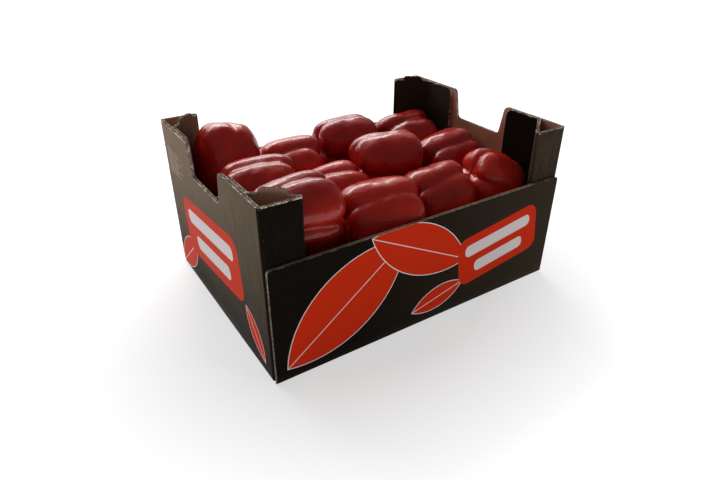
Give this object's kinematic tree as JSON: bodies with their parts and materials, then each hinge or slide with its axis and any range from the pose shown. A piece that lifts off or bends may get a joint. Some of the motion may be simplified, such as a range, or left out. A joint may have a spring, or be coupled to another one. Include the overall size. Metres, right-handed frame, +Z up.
{
  "type": "pepper carton",
  "caption": "Open corrugated carton with triangular corner posts, stacking tabs and hand notches, filled with layers of red sweet peppers.",
  "frame": {"origin": "under the middle of the base, on the surface that the carton stands on", "axes": "+X along the carton's long walls, +Y across it to the back wall, +Z up"},
  "size_m": [0.396, 0.292, 0.209],
  "materials": {
    "carton_board": "dark satin print outside, bare kraft inside and on cut edges",
    "pepper_skin": "waxy deep red skin",
    "pepper_stem": "dull green stem and calyx"
  },
  "bodies": {
    "root": {"carton": "carton_board", "pepper_low_front_1": "pepper_skin", "pepper_low_front_2": "pepper_skin", "pepper_low_front_3": "pepper_skin", "pepper_low_front_4": "pepper_skin", "pepper_low_middle_1": "pepper_skin", "pepper_low_middle_2": "pepper_skin", "pepper_low_middle_3": "pepper_skin", "pepper_low_middle_4": "pepper_skin", "pepper_low_back_1": "pepper_skin", "pepper_low_back_2": "pepper_skin", "pepper_low_back_3": "pepper_skin", "pepper_low_back_4": "pepper_skin", "pepper_top_front_1": "pepper_skin", "pepper_top_front_2": "pepper_skin", "pepper_top_front_3": "pepper_skin", "pepper_top_front_4": "pepper_skin", "pepper_top_middle_1": "pepper_skin", "pepper_top_middle_2": "pepper_skin", "pepper_top_middle_3": "pepper_skin", "pepper_top_middle_4": "pepper_skin", "pepper_top_back_1": "pepper_skin", "pepper_top_back_2": "pepper_skin", "pepper_top_back_3": "pepper_skin", "pepper_top_back_4": "pepper_skin"}
  },
  "joints": []
}
